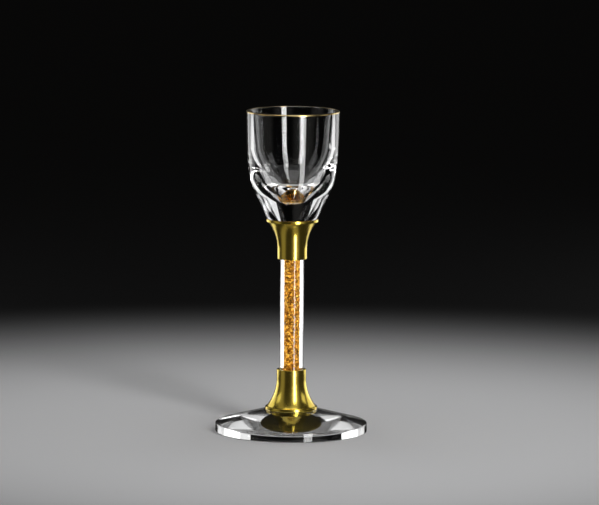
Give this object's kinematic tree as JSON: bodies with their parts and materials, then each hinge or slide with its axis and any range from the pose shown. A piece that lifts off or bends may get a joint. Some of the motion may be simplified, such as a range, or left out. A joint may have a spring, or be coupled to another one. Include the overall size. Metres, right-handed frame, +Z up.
{
  "type": "stemmed shot glass",
  "caption": "Stemmed shot glass: thick-footed clear bowl with a gilt lip, glass tube stem filled with gilt chips, flared gold-plated collars and a round low-coned glass base.",
  "frame": {"origin": "centre of the glass base's underside, on the plane that the glass stands on", "axes": "+Z up along the stem's axis, through the bowl's mouth; the shape is the same all round, so X and Y are free"},
  "size_m": [0.0706, 0.0706, 0.15],
  "materials": {
    "clear_glass": "polished crystal glass, colourless",
    "gold_plate": "polished, pale gold plate",
    "gilding": "fired gilt line, glossy",
    "gilt_chips": "fine orange-gold metallic chips",
    "stopper": "translucent silicone",
    "clear_adhesive": "clear cured adhesive"
  },
  "bodies": {
    "root": {"base": "clear_glass", "stem_tube": "clear_glass", "bowl": "clear_glass", "upper_collar": "gold_plate", "lower_collar": "gold_plate", "foot_plate": "gold_plate", "rim_gilding": "gilding", "gold_fill": "gilt_chips", "upper_plug": "stopper", "lower_plug": "stopper", "bowl_adhesive": "clear_adhesive", "upper_tube_adhesive": "clear_adhesive", "lower_tube_adhesive": "clear_adhesive", "base_adhesive": "clear_adhesive"}
  },
  "joints": []
}
